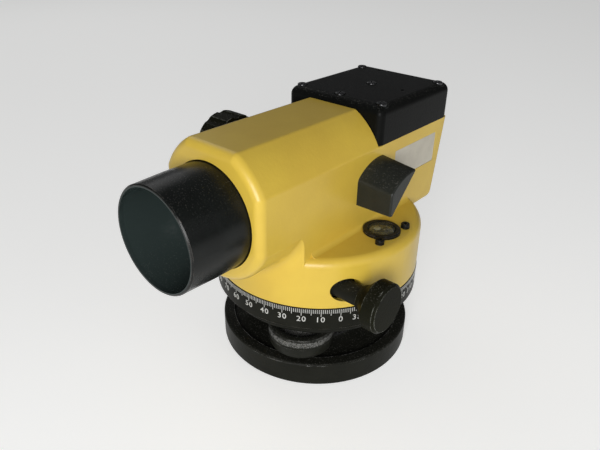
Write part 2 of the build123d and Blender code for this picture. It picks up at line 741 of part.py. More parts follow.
def tangent_knob():
    back = TANGENT_KNOB_X
    face = back + TANGENT_KNOB_T
    knob = turned(
        (TANGENT_SHAFT_R + NEST, back - TANGENT_HUB_L),
        (TANGENT_HUB_L, back - TANGENT_HUB_L),
        (TANGENT_HUB_L + 1.2, back - TANGENT_HUB_L + 2.5),
        (TANGENT_KNOB_R - 1.0, back),
        (TANGENT_KNOB_R, back + 1.0),
        (TANGENT_KNOB_R, face - 1.2),
        (TANGENT_KNOB_R - 1.2, face),
        (0, face),
        (0, face - KNOB_PLUG),
        (TANGENT_SHAFT_R + NEST, face - KNOB_PLUG),
    )
    return along_x(knob, TANGENT_Y, TANGENT_Z)


# Objective, hood and focusing


def lens_hood():
    length = HOOD_END_Y - HOOD_MOUTH_Y
    hood = turned(
        (HOOD_IN_R, length),
        (HOOD_R, length),
        (HOOD_R, length * 0.45),
        (HOOD_MOUTH_R + 0.1, 0.5),
        (HOOD_MOUTH_R - 0.4, 0),
        (HOOD_MOUTH_R - 1.2, 0),
        (HOOD_IN_R, HOOD_BEAD),
    )
    return Pos(0, HOOD_MOUTH_Y, SIGHT_Z) * Rot(-90, 0, 0) * hood


def objective_cell():
    length = OBJECTIVE_END_Y - OBJECTIVE_FRONT_Y
    cell = turned(
        (OBJECTIVE_IN_R, 0),
        (BARREL_R - 0.6, 0),
        (BARREL_R, 0.6),
        (BARREL_R, length),
        (OBJECTIVE_IN_R - 2, length),
        (OBJECTIVE_IN_R - 2, OBJECTIVE_SEAT),
        (OBJECTIVE_IN_R, OBJECTIVE_SEAT),
    )
    return Pos(0, OBJECTIVE_FRONT_Y, SIGHT_Z) * Rot(-90, 0, 0) * cell


def objective_lens():
    """A cemented pair drawn as one piece: two spherical faces and a cylindrical rim."""
    r = OBJECTIVE_IN_R - NEST
    front = objective_ring_t() + 2 * SEAT - LENS_BULGE
    curve = (r**2 + LENS_BULGE**2) / (2 * LENS_BULGE)
    lens = post(r, front, OBJECTIVE_SEAT - SEAT)
    lens &= Pos(0, 0, front + curve) * Sphere(curve)
    return Pos(0, OBJECTIVE_FRONT_Y, SIGHT_Z) * Rot(-90, 0, 0) * lens


def objective_ring():
    r = OBJECTIVE_IN_R - NEST
    back = objective_ring_t()
    ring = turned((r - 1.3, 0.5), (r, 0.5), (r, back), (r - 0.8, back), (r - 2.4, 1.0))
    return Pos(0, OBJECTIVE_FRONT_Y, SIGHT_Z) * Rot(-90, 0, 0) * ring


def objective_ring_t():
    return OBJECTIVE_SEAT / 3


def focus_carriage():
    bore = CARRIAGE_R - CARRIAGE_WALL
    tube = rod_y(CARRIAGE_R, CARRIAGE_Y, CARRIAGE_END_Y, 0, SIGHT_Z)
    rack_x0 = -CARRIAGE_R - 0.75 * RACK_H
    rack_z0 = RACK_TOP_Z - RACK_H
    rack_end = CARRIAGE_END_Y + RACK_TAIL
    rack = block(rack_x0, -bore, CARRIAGE_Y, rack_end, rack_z0, RACK_TOP_Z)
    tooth_h = 0.55 * RACK_PITCH
    teeth = int((rack_end - CARRIAGE_Y) / RACK_PITCH)
    for i in range(1, teeth):
        y = CARRIAGE_Y + i * RACK_PITCH
        y_end = y + RACK_PITCH / 2
        rack -= block(rack_x0 - 1, 0.5 - CARRIAGE_R, y, y_end, RACK_TOP_Z - tooth_h, RACK_TOP_Z + 1)
    tube += rack
    seat_y = CARRIAGE_Y + focus_lens_lip()
    tube -= rod_y(bore, seat_y, rack_end + 1, 0, SIGHT_Z)
    tube -= rod_y(bore - FOCUS_LENS_SEAT, CARRIAGE_Y - 1, seat_y + 1, 0, SIGHT_Z)
    return tube


def focus_lens_lip():
    return 0.6 * FOCUS_LENS_T


def focus_lens():
    r = CARRIAGE_R - CARRIAGE_WALL - NEST
    y0 = CARRIAGE_Y + focus_lens_lip()
    hollow = 0.4 * FOCUS_LENS_T
    lens = rod_y(r, y0, y0 + FOCUS_LENS_T, 0, SIGHT_Z)
    return lens - Pos(0, y0 + FOCUS_LENS_T - hollow + FOCUS_LENS_CURVE, SIGHT_Z) * Sphere(FOCUS_LENS_CURVE)


def focus_bush():
    outer_x = -BODY_W - TURRET_L + CLEAR / 2
    bush = rod_x(FOCUS_BUSH_R, outer_x, CHANNEL_X, FOCUS_Y, FOCUS_Z)
    return bush - rod_x(TANGENT_SHAFT_R + RUN, outer_x - 1, CHANNEL_X + 1, FOCUS_Y, FOCUS_Z)


def focus_knob_x():
    return -BODY_W - TURRET_L - CLEAR


def focus_pinion():
    x_end = focus_knob_x() - FOCUS_KNOB_L + KNOB_PLUG + SEAT
    shaft = rod_x(TANGENT_SHAFT_R, x_end, CHANNEL_X + 1, FOCUS_Y, FOCUS_Z)
    gear = rod_x(PINION_R, CHANNEL_X + SEAT, -CARRIAGE_R - CLEAR, FOCUS_Y, FOCUS_Z)
    gap = rod_x(0.5, CHANNEL_X, -CARRIAGE_R, FOCUS_Y + PINION_R + SEAT, FOCUS_Z)
    for i in range(PINION_TEETH):
        turn = Pos(0, FOCUS_Y, FOCUS_Z) * Rot(i * 360 / PINION_TEETH, 0, 0) * Pos(0, -FOCUS_Y, -FOCUS_Z)
        gear -= turn * gap
    return shaft + gear


def focus_knob():
    knob = post(FOCUS_KNOB_R, 0, FOCUS_KNOB_L)
    knob = fillet(knob.edges().filter_by(GeomType.CIRCLE).sort_by(Axis.Z)[-1], 1.6)
    flute_r = 0.17 * FOCUS_KNOB_R
    flute = post(flute_r, -1, FOCUS_KNOB_L + 1, FOCUS_KNOB_R + 0.57 * flute_r, 0)
    for i in range(FOCUS_LOBES):
        knob -= Rot(0, 0, i * 360 / FOCUS_LOBES) * flute
    knob -= post(FOCUS_KNOB_R - 6, FOCUS_KNOB_L - 1.2, FOCUS_KNOB_L + 1)
    knob -= post(TANGENT_SHAFT_R + NEST, -1, FOCUS_KNOB_L - KNOB_PLUG)
    return Pos(focus_knob_x(), FOCUS_Y, FOCUS_Z) * Rot(0, -90, 0) * knob


# Circular level and mirror housing


def level_screw_points():
    return [(LEVEL_X + x, LEVEL_Y + y) for x, y in points_on_circle(LEVEL_SCREW_CIRCLE_R, LEVEL_SCREW_ANGLES)]


def level_cup():
    top = SHELF_Z + LEVEL_RISE
    cup = turned(
        (0, CEILING_Z),
        (LEVEL_CUP_R, CEILING_Z),
        (LEVEL_CUP_R, SHELF_Z),
        (LEVEL_R, SHELF_Z),
        (LEVEL_R, top - 0.5),
        (LEVEL_R - 0.5, top),
        (LEVEL_GLASS_R + NEST, top),
        (LEVEL_GLASS_R + NEST, CEILING_Z + LEVEL_FLOOR),
        (0, CEILING_Z + LEVEL_FLOOR),
    )
    return Pos(LEVEL_X, LEVEL_Y, 0) * cup


def level_vial():
    """A glass disc with a shallow domed top."""
    top = SHELF_Z + LEVEL_RISE + LEVEL_DOME / 2
    curve = (LEVEL_GLASS_R**2 + LEVEL_DOME**2) / (2 * LEVEL_DOME)
    vial = post(LEVEL_GLASS_R, CEILING_Z + LEVEL_FLOOR, top)
    vial &= Pos(0, 0, top - curve) * Sphere(curve)
    return Pos(LEVEL_X, LEVEL_Y, 0) * vial


def level_screws():
    head_h = 1.9 * LEVEL_SHANK_R
    shank_l = 3.1 * LEVEL_SHANK_R
    return group(cap_screw(x, y, SHELF_Z, LEVEL_SHANK_R, head_h, shank_l) for x, y in level_screw_points())


def housing_profile(x, inset):
    """The housing's side outline at one x: upright front, tight brow, curved roof, open back."""
    scale = HOUSING_H / 20.0
    front_y = HOUSING_FRONT_Y + inset * 0.2
    top_z = HOUSING_TOP_Z - inset
    back_y = HOUSING_BACK_Y - inset * 0.4
    back_z = top_z - 0.6 * scale
    sill_y = front_y + HOUSING_SILL
    brow = [(front_y + back * scale, top_z - down * scale) for back, down in BROW_POINTS]
    roof = (front_y + ROOF_POINT[0] * scale, top_z - ROOF_POINT[1] * scale)
    edges = [
        Line((front_y, HOUSING_LOW_Z), brow[0]),
        ThreePointArc(*brow),
        ThreePointArc(brow[2], roof, (back_y, top_z)),
        Line((back_y, top_z), (back_y, back_z)),
        Line((back_y, back_z), (sill_y, HOUSING_LOW_Z)),
        Line((sill_y, HOUSING_LOW_Z), (front_y, HOUSING_LOW_Z)),
    ]
    return Plane.YZ.offset(x) * make_face(Wire(edges))


def mirror_plane():
    """The housing's open back, with Y across it along X and Z pointing out to the rear."""
    rise = HOUSING_H - HOUSING_SILL
    run = HOUSING_BACK_Y - HOUSING_FRONT_Y - 1.25 * HOUSING_SILL
    centre = (BODY_W + HOUSING_OUT / 2, HOUSING_FRONT_Y + HOUSING_SILL + run / 2, HOUSING_LOW_Z + rise / 2)
    return Plane(origin=centre, x_dir=(1, 0, 0), z_dir=(0, rise, -run))


def mirror_size():
    return HOUSING_OUT - 2 * HOUSING_WALL, 1.05 * HOUSING_H


def mirror_housing():
    near = housing_profile(BODY_W, 0)
    far = housing_profile(BODY_W + HOUSING_OUT, HOUSING_DRAFT)
    body = loft([near, far])
    outer = body.faces().sort_by(Axis.X)[-1]
    opening = mirror_plane()
    closed = [edge for edge in outer.edges() if opening.to_local_coords(edge.center()).Z < -HOUSING_WALL]
    body = fillet(closed, HOUSING_DRAFT / 2)
    width, height = mirror_size()
    body -= opening * Box(width, height, 2 * HOUSING_WALL)
    return body


def bubble_mirror():
    width, height = mirror_size()
    glass = Box(width - 2 * NEST, height - 2 * NEST, MIRROR_T - NEST)
    return mirror_plane() * Pos(0, 0, -MIRROR_SINK) * glass


# Cover, screws and label plate


def compensator_cover():
    cover = block(-BODY_W, BODY_W, COVER_FRONT_Y, COVER_BACK_Y, WALL_TOP_Z, COVER_TOP_Z)
    upright = cover.edges().filter_by(Axis.Z)
    cover = fillet(upright, REAR_EDGE_R)
    cover = fillet(cover.faces().sort_by(Axis.Z)[-1].edges(), COVER_EDGE_R)
    hollow = block(
        -BODY_W + COVER_WALL,
        BODY_W - COVER_WALL,
        COVER_FRONT_Y + COVER_WALL,
        COVER_BACK_Y - COVER_WALL,
        WALL_TOP_Z - 1,
        COVER_TOP_Z - COVER_WALL,
    )
    hollow = fillet(hollow.edges().filter_by(Axis.Z), 2.0)
    cover -= hollow
    sunk_z = COVER_TOP_Z - COVER_SINK
    roof_z = COVER_TOP_Z - COVER_WALL / 2
    inside = block(
        1 - BODY_W, BODY_W - 1, COVER_FRONT_Y + 1, COVER_BACK_Y - 1, WALL_TOP_Z, COVER_TOP_Z
    )
    screws = [(x, y, WALL_TOP_Z) for x, y in cover_post_points()]
    screws.append((0.0, COVER_MIDDLE_Y, COVER_TOP_Z - cover_thread() - 1))
    for x, y, low_z in screws:
        cover += post(POST_R, low_z, roof_z, x, y) & inside
        cover -= post(COVER_SHANK_R + NEST, low_z - 1, COVER_TOP_Z + 1, x, y)
        cover -= post(2.1 * COVER_SHANK_R, sunk_z, COVER_TOP_Z + 1, x, y)
    for x, y in ((0.65 * BODY_W, COVER_MIDDLE_Y), (-0.44 * BODY_W, SCREW_BACK_Y)):
        cover -= post(DIMPLE_R, sunk_z, COVER_TOP_Z + 1, x, y)
    return cover


def pan_screw(x, y, shank):
    seat = COVER_TOP_Z - COVER_SINK
    head_r = 1.85 * COVER_SHANK_R
    head_h = 1.1 * COVER_SHANK_R
    head = post(head_r, seat, seat + head_h, x, y)
    head = fillet(head.edges().sort_by(Axis.Z)[-1], head_h / 2)
    arm = 1.3 * head_r
    slot = 0.27 * head_r
    cross = Box(arm, slot, head_h) + Box(slot, arm, head_h)
    head -= Pos(x, y, seat + head_h) * Rot(0, 0, 25) * cross
    return head + post(COVER_SHANK_R, seat - shank, seat, x, y)


def cover_screws():
    long_shank = COVER_H - COVER_SINK + cover_thread()
    screws = [pan_screw(x, y, long_shank) for x, y in cover_post_points()]
    screws.append(pan_screw(0, COVER_MIDDLE_Y, cover_thread() - 1))
    return group(screws)


def label_plate():
    plate = block(
        BODY_W - LABEL_T,
        BODY_W - SEAT,
        LABEL_Y0 + LABEL_GAP,
        LABEL_Y0 + LABEL_L - LABEL_GAP,
        LABEL_Z0 + LABEL_GAP,
        LABEL_Z0 + LABEL_H - LABEL_GAP,
    )
    return fillet(plate.edges().filter_by(Axis.X), LABEL_T)


# Compensator


def compensator_frame():
    top_z = PIVOT_Z + TAPE_H / 2 + FRAME_T
    floor = block(-FRAME_W, FRAME_W, FRAME_Y0, FRAME_Y1, CAVITY_FLOOR_Z, CAVITY_FLOOR_Z + FRAME_T)
    cheek = block(FRAME_W - FRAME_T, FRAME_W, FRAME_Y0, FRAME_Y1, CAVITY_FLOOR_Z, top_z)
    window_z = (CAVITY_FLOOR_Z + PIVOT_Z) / 2
    cheek -= rod_x(FRAME_WINDOW_R, FRAME_W - FRAME_T - 1, FRAME_W + 1, PENDULUM_Y, window_z)
    beam = block(
        -FRAME_W, FRAME_W, PENDULUM_Y - BEAM_L / 2, PENDULUM_Y + BEAM_L / 2, top_z - FRAME_T, top_z
    )
    return floor + mirrored(cheek) + beam


def tape_x():
    return FRAME_W / 2 + TAPE_W / 6


def suspension_tapes():
    thin = TAPE_W / 20
    x = tape_x()
    z0 = PIVOT_Z - 0.6 * TAPE_H
    z1 = PIVOT_Z + TAPE_H / 2
    tape = block(x - TAPE_W / 2, x + TAPE_W / 2, PENDULUM_Y - thin, PENDULUM_Y + thin, z0, z1)
    return group([tape, mirror(tape, Plane.YZ)])


def pendulum():
    """A yoke hung from the tapes: cross bar, two arms and a weight."""
    half = FRAME_W - FRAME_T - 5 * CLEAR
    y0 = PENDULUM_Y - PENDULUM_L / 2
    y1 = PENDULUM_Y + PENDULUM_L / 2
    bar_top = PIVOT_Z - TAPE_H / 2 + CLEAR / 2
    bar_low = bar_top - 1.4 * ARM_T
    bar = block(-half, half, y0, y1, bar_low, bar_top)
    slot_w = TAPE_W / 2 + 1.25 * CLEAR
    slot_z = bar_top - CLEAR - 0.2 * TAPE_H
    for side in (-1, 1):
        x = side * tape_x()
        bar -= block(x - slot_w, x + slot_w, PENDULUM_Y - CLEAR, PENDULUM_Y + CLEAR, slot_z, PIVOT_Z)
    arm_x = PRISM * 0.625
    weight_z = CAVITY_FLOOR_Z + WEIGHT_LIFT
    arm = block(arm_x, arm_x + ARM_T, y0, y1, weight_z + 0.6 * WEIGHT_H, bar_low + 1)
    weight = block(-arm_x - ARM_T, arm_x + ARM_T, y0, y1, weight_z, weight_z + WEIGHT_H)
    return bar + mirrored(arm) + weight


def pendulum_prism():
    """A roof of glass between the arms, the same on both sides of the pivot."""
    half = PRISM / 2 - 0.5
    shoulder_z = SIGHT_Z - 0.6 * half
    points = [
        (PENDULUM_Y - half, SIGHT_Z - half),
        (PENDULUM_Y + half, SIGHT_Z - half),
        (PENDULUM_Y + half, shoulder_z),
        (PENDULUM_Y, SIGHT_Z + 0.27 * half),
        (PENDULUM_Y - half, shoulder_z),
    ]
    outline = Plane.YZ * make_face(Polyline(*points, close=True))
    return extrude(outline, PRISM * 0.625, both=True)


def fixed_prisms():
    half = PRISM / 2
    corner = Polyline((-half, -half), (half, -half), (-half, half), close=True)
    prism = extrude(Plane.YZ * make_face(corner), FRAME_W - FRAME_T, both=True)
    front = Pos(0, PENDULUM_Y - PRISM, SIGHT_Z) * prism
    back = Pos(0, PENDULUM_Y + PRISM, SIGHT_Z) * Rot(90, 0, 0) * prism
    return group([front, back])


def damping_magnets():
    z0 = CAVITY_FLOOR_Z + FRAME_T
    z1 = CAVITY_FLOOR_Z + WEIGHT_LIFT + WEIGHT_H
    y0 = PENDULUM_Y + PENDULUM_L / 2 + 3 * CLEAR
    magnet = block(-MAGNET_W / 2, MAGNET_W / 2, y0, y0 + MAGNET_L, z0, z1)
    return group([magnet, mirror(magnet, Plane.XZ.offset(-PENDULUM_Y))])


# Reticle and eyepiece


def reticle_cell():
    y0 = CAVITY_BACK_Y
    y1 = y0 + RETICLE_CELL_L
    ring = rod_y(EYE_R, y0, y1, 0, SIGHT_Z)
    ring -= rod_y(EYE_R - 1.7 * EYE_WALL, y0 - 1, y1 + 1, 0, SIGHT_Z)
    return ring - rod_y(EYE_R - EYE_WALL, y0 + RETICLE_CELL_L / 2, y1 + 1, 0, SIGHT_Z)


def reticle():
    y0 = CAVITY_BACK_Y + RETICLE_CELL_L / 2
    return rod_y(EYE_R - EYE_WALL - NEST, y0, y0 + RETICLE_T, 0, SIGHT_Z)


def eyepiece_tube():
    y0 = CAVITY_BACK_Y + RETICLE_CELL_L
    face = REAR_Y + CLEAR
    tube = turned(
        (EYE_R - EYE_WALL, y0),
        (EYE_R, y0),
        (EYE_R, face),
        (EYE_FLANGE_R, face),
        (EYE_FLANGE_R, EYE_RING_Y0 - CLEAR),
        (EYE_R, EYE_RING_Y0 - CLEAR),
        (EYE_R, EYE_TUBE_END_Y),
        (EYE_R - EYE_WALL, EYE_TUBE_END_Y),
    )
    return along_y(tube, 0, SIGHT_Z)


def eyepiece_ring():
    y_in = EYE_TUBE_END_Y + CLEAR
    bevel = 2.5
    ring = turned(
        (EYE_R + RUN, EYE_RING_Y0),
        (EYE_RING_R - 0.6, EYE_RING_Y0),
        (EYE_RING_R, EYE_RING_Y0 + 0.6),
        (EYE_RING_R, EYE_RING_Y1 - bevel),
        (EYE_RING_R - bevel, EYE_RING_Y1),
        (EYE_R - 3, EYE_RING_Y1),
        (EYE_R - 3, y_in + EYE_LENS_T),
        (EYE_R - 1, y_in + EYE_LENS_T),
        (EYE_R - 1, y_in),
        (EYE_R + RUN, y_in),
    )
    groove = post(0.55, EYE_RING_Y0 + 1.5, EYE_RING_Y1 - bevel - 1, EYE_RING_R + 0.15, 0)
    for i in range(EYE_GRIPS):
        ring -= Rot(0, 0, i * 360 / EYE_GRIPS) * groove
    return along_y(ring, 0, SIGHT_Z)


def eyepiece_lens():
    y_in = EYE_TUBE_END_Y + CLEAR
    return rod_y(EYE_R - 1 - NEST, y_in, y_in + EYE_LENS_T, 0, SIGHT_Z)


# Write every piece

save(base_plate(), "base_plate")
save(tripod_bush(), "tripod_bush")
save(spring_plate(), "spring_plate")
save(spring_screws(), "spring_screws")
for number, (foot_x, foot_y) in enumerate(FOOT_POINTS, 1):
    save(foot_spindle(foot_x, foot_y), f"foot_spindle_{number}")
    save(foot_knob(foot_x, foot_y), f"foot_knob_{number}")
save(levelling_head(), "levelling_head")
save(head_bushes(), "head_bushes")
save(axis_sleeve(), "axis_sleeve")
save(sleeve_screws(), "sleeve_screws")
save(horizontal_circle(), "horizontal_circle")
save(body_casting(), "body_casting")
save(axis_spindle(), "axis_spindle")
save(axis_screws(), "axis_screws")
save(axis_nut(), "axis_nut")
save(friction_wheel(), "friction_wheel")
save(tangent_shaft(), "tangent_shaft")
save(tangent_sleeves(), "tangent_sleeves")
save(tangent_knob(), "tangent_knob_right")
save(mirror(tangent_knob(), Plane.YZ), "tangent_knob_left")
save(lens_hood(), "lens_hood")
save(objective_cell(), "objective_cell")
save(objective_lens(), "objective_lens")
save(objective_ring(), "objective_ring")
save(focus_carriage(), "focus_carriage")
save(focus_lens(), "focus_lens")
save(focus_bush(), "focus_bush")
save(focus_pinion(), "focus_pinion")
save(focus_knob(), "focus_knob")
save(level_cup(), "level_cup")
save(level_vial(), "level_vial")
save(level_screws(), "level_screws")
save(mirror_housing(), "mirror_housing")
save(bubble_mirror(), "bubble_mirror")
save(compensator_cover(), "compensator_cover")
save(cover_screws(), "cover_screws")
save(label_plate(), "label_plate")
save(compensator_frame(), "compensator_frame")
save(suspension_tapes(), "suspension_tapes")
save(pendulum(), "pendulum")
save(pendulum_prism(), "pendulum_prism")
save(fixed_prisms(), "fixed_prisms")
save(damping_magnets(), "damping_magnets")
save(reticle_cell(), "reticle_cell")
save(reticle(), "reticle")
save(eyepiece_tube(), "eyepiece_tube")
save(eyepiece_ring(), "eyepiece_ring")
save(eyepiece_lens(), "eyepiece_lens")
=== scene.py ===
import math

import bpy
from mathutils import Matrix, Vector


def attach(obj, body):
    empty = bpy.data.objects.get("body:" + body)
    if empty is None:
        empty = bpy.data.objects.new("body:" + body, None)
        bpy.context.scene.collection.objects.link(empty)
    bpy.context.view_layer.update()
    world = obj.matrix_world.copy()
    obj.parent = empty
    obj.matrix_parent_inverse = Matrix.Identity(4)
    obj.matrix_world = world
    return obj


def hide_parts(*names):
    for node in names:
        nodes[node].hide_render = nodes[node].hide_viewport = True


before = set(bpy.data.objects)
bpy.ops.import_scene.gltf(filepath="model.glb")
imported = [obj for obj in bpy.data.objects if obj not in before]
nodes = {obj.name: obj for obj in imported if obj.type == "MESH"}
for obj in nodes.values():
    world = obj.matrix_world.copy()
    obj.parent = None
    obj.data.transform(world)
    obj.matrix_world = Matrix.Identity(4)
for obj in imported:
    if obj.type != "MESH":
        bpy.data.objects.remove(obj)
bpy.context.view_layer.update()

mm = 0.001


# modelling helpers


def freshStart():
    if bpy.context.object and bpy.context.object.mode != "OBJECT":
        bpy.ops.object.mode_set(mode="OBJECT")
    bpy.ops.object.select_all(action="DESELECT")


def settle(name, smoothAngle=30):
    # names the active piece and moves its place into its mesh
    piece = bpy.context.object
    if piece.mode != "OBJECT":
        bpy.ops.object.mode_set(mode="OBJECT")
    bpy.ops.object.transform_apply(location=True, rotation=True, scale=True)
    bpy.ops.object.shade_smooth_by_angle(angle=math.radians(smoothAngle))
    piece.name = name
    piece.data.name = name
    return piece


def pickFaces(piece, test):
    # selects in edit mode the faces whose middle and normal pass the test
    bpy.ops.object.mode_set(mode="OBJECT")
    for edge in piece.data.edges:
        edge.select = False
    for point in piece.data.vertices:
        point.select = False
    for face in piece.data.polygons:
        face.select = test(face.center, face.normal)
    bpy.ops.object.mode_set(mode="EDIT")
    bpy.ops.mesh.select_mode(type="FACE")


def turnRing(name, profile, sides, closed=True, place=(0, 0, 0), smoothAngle=30):
    # a circle extruded ring by ring along a list of radius and height in mm
    freshStart()
    radius, height = profile[0]
    bpy.ops.mesh.primitive_circle_add(vertices=sides, radius=radius * mm, location=(0, 0, height * mm))
    bpy.ops.object.mode_set(mode="EDIT")
    bpy.ops.mesh.select_mode(type="VERT")
    bpy.ops.mesh.select_all(action="SELECT")
    for (r0, h0), (r1, h1) in zip(profile, profile[1:]):
        bpy.ops.mesh.extrude_region_move(TRANSFORM_OT_translate={"value": (0, 0, (h1 - h0) * mm)})
        grow = r1 / r0
        bpy.ops.transform.resize(value=(grow, grow, 1), center_override=(0, 0, h1 * mm))
    bpy.ops.mesh.select_all(action="SELECT")
    bpy.ops.mesh.remove_doubles(threshold=1e-7)
    if not closed:
        bpy.ops.mesh.fill_holes(sides=0)
    bpy.ops.mesh.normals_make_consistent(inside=False)
    bpy.ops.object.mode_set(mode="OBJECT")
    piece = bpy.context.object
    piece.matrix_world = Matrix.Translation(Vector(place) * mm) @ piece.matrix_world
    return settle(name, smoothAngle)


def roundedBlock(name, low, high, bevel):
    freshStart()
    middle = [(a + b) / 2 * mm for a, b in zip(low, high)]
    size = [(b - a) * mm for a, b in zip(low, high)]
    bpy.ops.mesh.primitive_cube_add(size=1, location=middle, scale=size)
    bpy.ops.object.transform_apply(location=True, rotation=True, scale=True)
    bpy.ops.object.mode_set(mode="EDIT")
    bpy.ops.mesh.select_all(action="SELECT")
    bpy.ops.mesh.bevel(offset=bevel * mm, segments=1, affect="EDGES")
    return settle(name)


def twin(piece, change):
    copy = piece.copy()
    copy.data = piece.data.copy()
    copy.data.transform(change)
    bpy.context.scene.collection.objects.link(copy)
    return copy


def joinAll(pieces, name):
    freshStart()
    for piece in pieces:
        piece.select_set(True)
    bpy.context.view_layer.objects.active = pieces[0]
    if len(pieces) > 1:
        bpy.ops.object.join()
    pieces[0].name = name
    pieces[0].data.name = name
    return pieces[0]


def dress(piece, material):
    piece.data.materials.clear()
    piece.data.materials.append(material)


# shader helpers


class Wire:
    # one socket of a material, so that sums on it add Math nodes
    def __init__(self, tree, socket=None):
        self.tree = tree
        self.socket = socket

    def node(self, kind, settings, feeds, out=0):
        made = self.tree.nodes.new(kind)
        stops = settings.pop("stops", None)
        for key, value in settings.items():
            setattr(made, key, value)
        if stops:
            ramp = made.color_ramp
            while len(ramp.elements) < len(stops):
                ramp.elements.new(0.5)
            for element, (spot, shade) in zip(ramp.elements, stops):
                element.position = spot
                element.color = (shade, shade, shade, 1)
        for key, value in feeds.items():
            if isinstance(value, Wire):
                self.tree.links.new(value.socket, made.inputs[key])
            elif value is not None:
                made.inputs[key].default_value = value
        return Wire(self.tree, made.outputs[out])

    def sum(self, operation, first, second):
        return self.node("ShaderNodeMath", {"operation": operation}, {0: first, 1: second})

    def __add__(self, other):
        return self.sum("ADD", self, other)

    def __radd__(self, other):
        return self.sum("ADD", other, self)

    def __sub__(self, other):
        return self.sum("SUBTRACT", self, other)

    def __rsub__(self, other):
        return self.sum("SUBTRACT", other, self)

    def __mul__(self, other):
        return self.sum("MULTIPLY", self, other)

    def __rmul__(self, other):
        return self.sum("MULTIPLY", other, self)

    def __pow__(self, other):
        return self.sum("POWER", self, other)

    def held(self, low, high):
        # stretches low..high to 0..1 and holds it there
        feeds = {0: self, 1: low, 2: high, 3: 0.0, 4: 1.0}
        return self.node("ShaderNodeMapRange", {"clamp": True, "interpolation_type": "SMOOTHSTEP"}, feeds)

    def blendTo(self, base, top):
        # a colour between base and top, by this wire
        feeds = {0: self, 6: base, 7: top}
        return self.node("ShaderNodeMix", {"data_type": "RGBA"}, feeds, out=2)


def rgb(red, green, blue):
    return (red, green, blue, 1.0)


def paintNoise(wire, spots, scale, detail=3.0, rough=0.55):
    feeds = {"Vector": spots, "Scale": scale, "Detail": detail, "Roughness": rough}
    return wire.node("ShaderNodeTexNoise", {}, feeds)


shaderDetail = {
    "bumpReach": 0.001,  # metres that a bump height of 1 stands for
    "wearStarts": 0.004,  # how far the surface has turned where wear starts and is full
    "wearFull": 0.06,
    "wearSamples": 4,
}
# look of the lighter knob band: finger rubbing and painted highlight together
rubbedAndSheenLook = {
    "raggedScale": 700.0,
    "ragged": 0.0016,
    "lowEdge": 0.0003,
    "highEdge": (0.0002, 0.0003),
    "speckScale": 1500.0,
    "speck": (0.38, 0.62),
}
lintLook = {
    "scale": 1400.0,
    "spread": (0.56, 0.75),
    "upward": (0.3, 1.0),
    "colour": (0.32, 0.31, 0.28),
    "rough": 0.4,
}
boreEdge = 0.1


def edgeWear(wire, width):
    # how much the surface turns within this width: 1 along edges, 0 on plain faces
    rounded = wire.node("ShaderNodeBevel", {"samples": shaderDetail["wearSamples"]}, {"Radius": width})
    flat = wire.node("ShaderNodeNewGeometry", {}, {}, out=1)
    agree = wire.node("ShaderNodeVectorMath", {"operation": "DOT_PRODUCT"}, {0: rounded, 1: flat}, out=1)
    return (1.0 - agree).held(shaderDetail["wearStarts"], shaderDetail["wearFull"])


def rubbedBand(wire, spots, band):
    # a band of heights made lighter, partly rubbed by fingers and partly a painted highlight where the
    # knurled rim catches the light
    low, high = band
    look = rubbedAndSheenLook
    level = wire.node("ShaderNodeSeparateXYZ", {}, {"Vector": spots}, out=2)
    ragged = level + (paintNoise(wire, spots, look["raggedScale"], 4.0, 0.7) - 0.5) * look["ragged"]
    rubAndSheen = ragged.held(low * mm - look["lowEdge"], low * mm + look["lowEdge"])
    under, over = look["highEdge"]
    rubAndSheen = rubAndSheen * (1.0 - ragged.held(high * mm - under, high * mm + over))
    return rubAndSheen * paintNoise(wire, spots, look["speckScale"], 3.0, 0.7).held(*look["speck"])


def insideTube(wire, spots, bore):
    # 1 on the inside of a tube round the line of sight
    height, radius = bore
    x = wire.node("ShaderNodeSeparateXYZ", {}, {"Vector": spots}, out=0)
    rise = wire.node("ShaderNodeSeparateXYZ", {}, {"Vector": spots}, out=2) - height * mm
    reach = (x * x + rise * rise) ** 0.5
    return 1.0 - reach.held((radius - boreEdge) * mm, (radius + boreEdge) * mm)


def dustOnTop(wire, spots, amount):
    facing = wire.node("ShaderNodeNewGeometry", {}, {}, out=1)
    upward = wire.node("ShaderNodeSeparateXYZ", {}, {"Vector": facing}, out=2)
    lint = paintNoise(wire, spots, lintLook["scale"], 2.0, 0.5).held(*lintLook["spread"])
    return lint * upward.held(*lintLook["upward"]) * amount


def newMaterial(name):
    material = bpy.data.materials.new(name)
    material.use_nodes = True
    tree = material.node_tree
    wire = Wire(tree)
    spots = wire.node("ShaderNodeTexCoord", {}, {}, out=3)
    return material, tree, tree.nodes["Principled BSDF"], wire, spots


